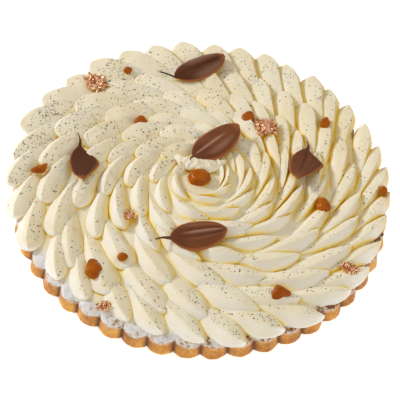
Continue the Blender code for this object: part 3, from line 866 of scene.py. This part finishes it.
# chocolate leaves
def leaf_half_width(share, corner):
    """Outline of a leaf's half from base to tip, 1 at its widest: a round shoulder, or a hollow side up to a
    corner."""
    widest = corner or LEAF_WIDEST_AT
    beyond = max((share - widest) / (1 - widest), 0.0)
    if corner:
        return min(share / widest, 1.0) ** 1.4 * (1 - beyond ** 1.25) ** 0.8
    if beyond:
        return (1 - beyond ** 2.3) ** 0.6
    return math.sin(math.pi / 2 * share / widest) ** 0.6


def softened_half_width(share, corner, softness):
    """The outline with its corner rounded over this share of the length."""
    sharp = leaf_half_width(share, corner)
    if not corner or share <= 0:
        return sharp
    steps = [step / CORNER_SAMPLES for step in range(-CORNER_SAMPLES, CORNER_SAMPLES + 1)]
    near = [min(max(share + softness * step, 0.0), 1.0) for step in steps]
    soft = sum(leaf_half_width(place, corner) for place in near) / len(near)
    return sharp + (soft - sharp) * (1 - smooth_step(0.9, 1.0, share))


def leaf_relief(kind, along, across):
    """Height added to a leaf's top; along runs from base to tip, across from -1 to 1 over the whole width."""
    to_tip = smooth_step(0.05, 0.5, along)
    if kind == "ribs":
        ribs = math.cos(math.tau * 2.1 * (across - 0.12)) * math.exp(-((across - 0.12) / 0.5) ** 2)
        return 1.0 * MM * to_tip * ribs
    if kind == "ridge":
        ridge = math.exp(-((across - 0.05) / 0.1) ** 2) * (1 - smooth_step(0.5, 0.85, along))
        side = math.exp(-((across + 0.5) / 0.28) ** 2)
        return (1.1 * ridge + 0.6 * side * math.sin(math.pi * along)) * MM
    if kind == "crease":
        crease = -math.exp(-(across / 0.13) ** 2)
        return (0.8 * crease + 1.3 * abs(across) * to_tip) * MM
    if kind == "fold":
        crease = -math.exp(-((across - 0.05) / 0.09) ** 2) * (1 - smooth_step(0.6, 0.9, along))
        pleats = math.cos(math.tau * 3.2 * across) * smooth_step(0.2, 0.8, across)
        return (0.9 * crease + 0.35 * pleats) * MM
    pleats = 0.06 * math.cos(math.tau * 3.5 * across)
    rolled = 0.5 * smooth_step(0.72, 0.95, across) - 0.5 * math.exp(-((across - 0.72) / 0.1) ** 2)
    return (pleats + rolled * smooth_step(0.2, 0.5, along)) * MM


def leaf_marks(share, across, raised, relief, lightness):
    """For the material: how near the edge is, a painted sheen on the raised ribs, and how light the chocolate
    is, with painted shade in its sunken parts and darker near the base.
    """
    rim = smooth_step(0.80, 0.99, abs(across)) * (share > 0)
    edge = min(rim + 0.7 * smooth_step(0.86, 1.0, share), 1.0)
    rib_sheen = RIB_SHEEN * smooth_step(0.15 * MM, 1.0 * MM, raised) * (1 - smooth_step(0.8, 1.0, share))
    # darker near the base, and painted shade where the top sinks into a crease
    darkening = 0.45 * (1 - smooth_step(0.0, 0.6, share)) + 0.35 * smooth_step(0.0, 0.7 * MM, -raised)
    if relief == "crease":
        rib_sheen *= 0.5
    return {"edge": edge, "ribs": rib_sheen, "light": max(lightness - darkening, 0.0)}


def leaf_shares():
    """Stations along a leaf: below 0 on the stem, from 0 to 1 on the leaf."""
    on_stem = [-1 + step / STEM_STATIONS for step in range(STEM_STATIONS)]
    on_leaf = [0.5 - 0.5 * math.cos(math.pi * step / LEAF_STATIONS) for step in range(LEAF_STATIONS)]
    return on_stem + on_leaf + [0.9995]


def build_leaf(name, base, tip, stem_end, half_widths, rise, corner, relief, lightness, material):
    """A thin leaf of chocolate with a drawn-out stem, lying where its solid lies."""
    base, tip, stem_end = (Vector(place) * MM for place in (base, tip, stem_end))
    heading = tip - base
    left = Vector((-heading.y, heading.x)).normalized()
    half = LEAF_COLUMNS // 2
    points, marks = [], {"edge": [], "ribs": [], "light": []}
    for share in leaf_shares():
        on_leaf, on_stem = max(share, 0.0), max(-share, 0.0)
        stem = STEM_HALF_WIDTH + STEM_FLARE * (1 - on_stem) ** 1.6
        middle = base + heading * on_leaf + (stem_end - base) * on_stem
        middle += left * STEM_BEND * math.sin(math.pi * on_stem)
        top_row, under_row = [], []
        for column in range(-half, half + 1):
            across = math.sin(math.pi / 2 * column / half)
            widest, turns = (half_widths[0], corner) if across > 0 else (half_widths[1], None)
            body = widest * MM * softened_half_width(on_leaf, turns, CORNER_SOFTNESS.get(relief))
            reach = across * (body ** 3 + stem ** 3) ** (1 / 3)
            place = middle + left * reach
            raised = 0.0
            if share > 0:
                raised = leaf_relief(relief, share, across) * smooth_step(0, 0.12, share)
                raised *= 1 - abs(across) ** 6
            height = rise * MM * on_leaf ** 1.5 - LEAF_CUP * (reach / LEAF_CUP_AT) ** 2 + raised
            thick = LEAF_THICKNESS * (0.12 + 0.38 * math.sqrt(1 - across ** 4))
            top_row.append(Vector((place.x, place.y, height + thick)))
            under_row.append(Vector((place.x, place.y, height - thick)))
            for key, value in leaf_marks(share, across, raised, relief, lightness).items():
                marks[key].append(value)
        points += top_row + under_row[::-1]
        for values in marks.values():
            values += values[-LEAF_COLUMNS:][::-1]
    low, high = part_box(name)
    heights = [point.z for point in points]
    lift = min(low[2] - min(heights), high[2] - max(heights))
    for point in points:
        point.z += lift
    faces = ring_faces(0, len(leaf_shares()), 2 * LEAF_COLUMNS)
    leaf = outward(mesh_object(f"{name}_moulded", points, faces, material))
    for key, values in marks.items():
        set_attribute(leaf, key, values)
    return leaf


# caramel drops
def build_drop(name, middle, half_sizes, turn, narrowing, bend, material):
    """One lumpy drop, sunk into the cream."""
    level = crest_height(Vector(middle).length * MM) - DROP_SUNK * half_sizes[2] * MM
    place = Vector((middle[0] * MM, middle[1] * MM, level))
    spin = Matrix.Rotation(math.radians(turn), 3, "Z")
    offset = Vector((*middle, 0))
    bm = bmesh.new()
    for vert in bmesh.ops.create_icosphere(bm, subdivisions=5, radius=1.0)["verts"]:
        unit = vert.co.copy()
        lumpy = 1 + DROP_LUMPS * noise.noise(unit * 1.4 + offset)
        lumpy += DROP_BUMPS * noise.noise(unit * 3.5 - offset)
        reach = Vector([unit[axis] * half_sizes[axis] * MM * lumpy for axis in range(3)])
        reach.x *= 1 - narrowing * unit.y
        reach.y += bend * half_sizes[1] * MM * unit.x ** 2
        vert.co = spin @ reach + place
    bmesh.ops.recalc_face_normals(bm, faces=bm.faces)
    mesh = bpy.data.meshes.new(f"{name}_glossy")
    bm.to_mesh(mesh)
    bm.free()
    return object_of(mesh, material)


# copper foil
def grid_unit(row, column, level=0):
    """Place of a grid's point or cell, from -1 to 1 each way."""
    return Vector((2 * column / FLAKE_CELLS - 1, 2 * row / FLAKE_CELLS - 1, level))


def crumpled(unit, offset, sheet, size, half_sizes):
    """Where a point of a crumpled sheet lies: in plan, in millimetres, and its height."""
    ragged = 0.8 + 0.35 * noise.noise(unit * 2.3 + offset)
    ragged *= size * (1 + 0.16 * noise.noise(unit * 7 + offset))
    folds = noise.noise(unit * 3.1 - offset - Vector((0, 0, 5)))
    folds += 0.55 * ridged(unit * 4.2 + offset * (sheet + 1)) - 0.3
    folds += 0.28 * ridged(unit * 9.5 - offset) - 0.1
    return Vector((unit.x * half_sizes[0], unit.y * half_sizes[1])) * ragged, FLAKE_CRINKLE * folds


def torn_cells(sheet, offset):
    """Cells of a sheet's grid that lie inside its torn outline."""
    kept = set()
    for row in range(FLAKE_CELLS):
        for column in range(FLAKE_CELLS):
            unit = grid_unit(row, column, sheet)
            torn = 0.86 + 0.55 * noise.noise(unit * 3 + offset)
            if unit.x ** 2 + unit.y ** 2 < torn * 1.2:
                kept.add((row, column))
    return kept


def sheet_faces(first, kept):
    """Upper and under faces of these cells, and the narrow faces along their torn edge."""
    span = FLAKE_CELLS + 1
    under = span * span
    sides = (((-1, 0), (0, 1)), ((0, 1), (1, 2)), ((1, 0), (2, 3)), ((0, -1), (3, 0)))
    faces = []
    for row, column in sorted(kept):
        corner = first + row * span + column
        face = (corner, corner + 1, corner + span + 1, corner + span)
        faces.append(face)
        faces.append(tuple(index + under for index in reversed(face)))
        for (down, along), (start, end) in sides:
            if (row + down, column + along) not in kept:
                one, two = face[start], face[end]
                faces.append((two, one, one + under, two + under))
    return faces


def build_flake(name, middle, half_sizes, turn, material):
    """Foil crumpled into sharp folds, two torn sheets over each other."""
    low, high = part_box(name)
    level = (low[2] + high[2]) / 2
    offset = Vector((*middle, 0))
    points, faces = [], []
    for sheet, (size, extra) in enumerate(FLAKE_SHEETS):
        spin = Matrix.Rotation(math.radians(turn + extra), 2)
        faces += sheet_faces(len(points), torn_cells(sheet, offset))
        for side in (1, -1):
            for row in range(FLAKE_CELLS + 1):
                for column in range(FLAKE_CELLS + 1):
                    flat, fold = crumpled(grid_unit(row, column), offset, sheet, size, half_sizes)
                    flat = (Vector(middle) + spin @ flat) * MM
                    height = level + fold + side * FLAKE_THICKNESS / 2 + sheet * SHEET_GAP
                    height = min(max(height, low[2] - FLAKE_BELOW), high[2] + FLAKE_ABOVE)
                    points.append(Vector((flat.x, flat.y, height)))
    used = sorted({index for face in faces for index in face})
    place_of = {index: place for place, index in enumerate(used)}
    faces = [tuple(place_of[index] for index in face) for face in faces]
    return mesh_object(f"{name}_crumpled", [points[index] for index in used], faces, material)


# vanilla specks
def speck_density(x, y, normal):
    """Chance that a vanilla speck stays here: more at the upper left and along the front edge, in patches."""
    radius, angle = math.hypot(x, y) / SHELL_RADIUS, math.atan2(y, x)
    upper_left = hump(angle, math.radians(150), 0.9) * radius
    front = hump(angle, math.radians(-75), 0.55) * radius ** 3
    patch = 0.5 + 0.9 * noise.noise(Vector((x, y, 3.0)) * 45)
    base = 0.22 + 0.5 * upper_left + 0.75 * front
    return base * max(patch, 0.05) * smooth_step(0.76, 0.93, normal.z)


def speck_points(spot, normal, chance):
    """Points of one flat angular flake that lies on the surface here: its corners, then its top."""
    size = SPECK_LEAST + SPECK_LARGER * chance.random() ** 2
    side = normal.orthogonal().normalized()
    side.rotate(Matrix.Rotation(chance.uniform(0, math.tau), 3, normal))
    other = normal.cross(side)
    stretch = chance.uniform(0.7, 1.5)
    points = []
    for corner in range(SPECK_CORNERS):
        turn = math.tau * corner / SPECK_CORNERS
        reach = size * chance.uniform(0.75, 1.2)
        outline = side * reach * stretch * math.cos(turn) + other * reach * math.sin(turn)
        points.append(spot + outline + normal * 0.05 * MM)
    return points + [spot + normal * (0.06 * MM + size * 0.55)]


def build_specks(cream, materials):
    """Ground vanilla on the cream, of three colours in one mesh."""
    corners = [vert.co for vert in cream.data.vertices]
    tree = BVHTree.FromPolygons(corners, [face.vertices for face in cream.data.polygons])
    chance = random.Random(SEED + 7)
    shares = [kind[-1] for kind in SPECK_KINDS]
    points, faces, kinds = [], [], []
    placed = 0
    while placed < SPECK_COUNT:
        radius = SPECK_FIELD * math.sqrt(chance.random())
        angle = chance.uniform(0, math.tau)
        x, y = radius * math.cos(angle), radius * math.sin(angle)
        spot, normal, _, _ = tree.ray_cast(Vector((x, y, 0.1)), Vector((0, 0, -1)))
        if spot is None or spot.z < CREAM_FLOOR + 1 * MM:
            continue
        if chance.random() > speck_density(x, y, normal):
            continue
        first = len(points)
        points += speck_points(spot, normal, chance)
        top = first + SPECK_CORNERS
        for corner in range(SPECK_CORNERS):
            faces.append((first + corner, first + (corner + 1) % SPECK_CORNERS, top))
        faces.append(tuple(reversed(range(first, top))))
        kinds += chance.choices(range(len(shares)), shares) * (SPECK_CORNERS + 1)
        placed += 1
    made = mesh_object("vanilla_specks", points, faces, materials[0], smooth=False)
    for material in materials[1:]:
        made.data.materials.append(material)
    made.data.polygons.foreach_set("material_index", kinds)
    return made


# stage, light and camera
def build_stage():
    grid = bmesh.new()
    bmesh.ops.create_grid(grid, x_segments=8, y_segments=8, size=FLOOR_HALF_SIZE)
    mesh = bpy.data.meshes.new("floor")
    grid.to_mesh(mesh)
    grid.free()
    floor = object_of(mesh, floor_material(), smooth=False)
    floor.location.z = -FLOOR_BELOW


def area_light(name, place, size, power, colour):
    data = bpy.data.lights.new(name, "AREA")
    data.size = size
    data.energy = power
    data.color = colour
    light = bpy.data.objects.new(name, data)
    light.location = place
    light.rotation_euler = (-Vector(place)).to_track_quat("-Z", "Y").to_euler()
    bpy.context.scene.collection.objects.link(light)


def build_light():
    world = bpy.data.worlds.new("studio")
    scene = bpy.context.scene
    scene.world = world
    world.use_nodes = True
    background = world.node_tree.nodes["Background"]
    background.inputs["Color"].default_value = WORLD_COLOUR
    background.inputs["Strength"].default_value = WORLD_STRENGTH
    scene.view_settings.view_transform = "Standard"
    for light in LIGHTS:
        area_light(*light)


def build_camera():
    """The photograph's view, as fitted to the crust's flutes."""
    data = bpy.data.cameras.new("camera")
    data.sensor_width = SENSOR_WIDTH
    data.lens = CAMERA_FOCAL_PX * SENSOR_WIDTH / PHOTO_WIDTH_PX
    camera = bpy.data.objects.new("camera", data)
    back = Vector((0, -math.cos(CAMERA_ELEVATION), math.sin(CAMERA_ELEVATION)))
    right = Vector((1, 0, 0))
    up = back.cross(right)
    axes = Matrix((right, up, back)).transposed()
    place = axes @ Vector(CAMERA_OFFSETS) * SHELL_RADIUS
    turn = axes.to_4x4() @ Matrix.Rotation(-CAMERA_ROLL, 4, "Z")
    camera.matrix_world = Matrix.Translation(place) @ turn
    bpy.context.scene.collection.objects.link(camera)
    bpy.context.scene.camera = camera


def main():
    stands_for(build_shell(pastry_material()), "shell")
    piped = cream_material("cream_piped")
    cream = build_cream(piped)
    stands_for(cream, "cream")
    stands_for(build_cream_base(cream_material("cream_smeared", on_rim=True)), "cream")
    lies_on_cream(build_torn_cream(piped))
    lies_on_cream(build_specks(cream, [speck_material(*kind[:-1]) for kind in SPECK_KINDS]))
    chocolate = chocolate_material()
    for leaf in LEAVES:
        stands_for(build_leaf(*leaf, chocolate), leaf[0])
    caramel = caramel_material()
    for drop in DROPS:
        stands_for(build_drop(*drop, caramel), drop[0])
    copper = foil_material()
    for flake in FLAKES:
        stands_for(build_flake(*flake, copper), flake[0])
    build_stage()
    build_light()
    build_camera()


main()
